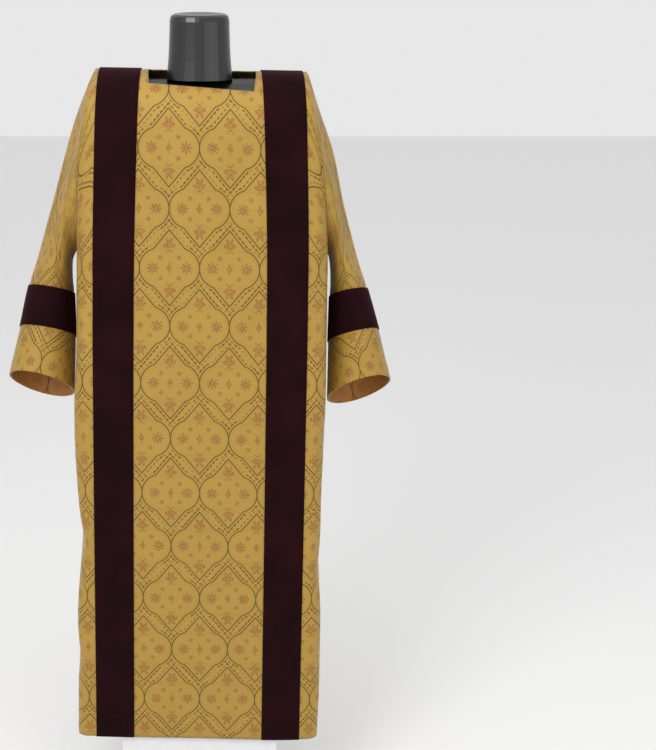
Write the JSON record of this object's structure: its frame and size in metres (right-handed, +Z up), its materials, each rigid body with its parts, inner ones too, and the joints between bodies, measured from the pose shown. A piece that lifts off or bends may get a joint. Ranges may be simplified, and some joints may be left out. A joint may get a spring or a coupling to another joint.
{
  "type": "dalmatic on dress form",
  "caption": "Gold brocade dalmatic with dark velvet bands, square neck and wide sleeves, worn by a limbless dress form on a plain plinth.",
  "frame": {"origin": "middle of the plinth's underside", "axes": "+Z up; -Y is the way the front of the robe faces; +X towards the robe's left sleeve as worn, the viewer's right from the front"},
  "size_m": [0.762, 0.2284, 1.6103],
  "materials": {
    "brocade": "gold brocade with a soft metallic sheen",
    "velvet": "dark burgundy velvet pile",
    "facing": "gold brocade, the inside of the cuff",
    "form": "smooth gloss black",
    "pole": "brushed",
    "plinth": "light grey, matt"
  },
  "bodies": {
    "root": {"front_panel": "brocade", "back_panel": "brocade", "band_left": "velvet", "band_right": "velvet", "sleeve_left": "brocade", "sleeve_right": "brocade", "sleeve_band_left": "velvet", "sleeve_band_right": "velvet", "cuff_facing_left": "facing", "cuff_facing_right": "facing", "form_torso": "form", "form_neck": "form", "form_pole": "pole", "plinth": "plinth"}
  },
  "joints": []
}
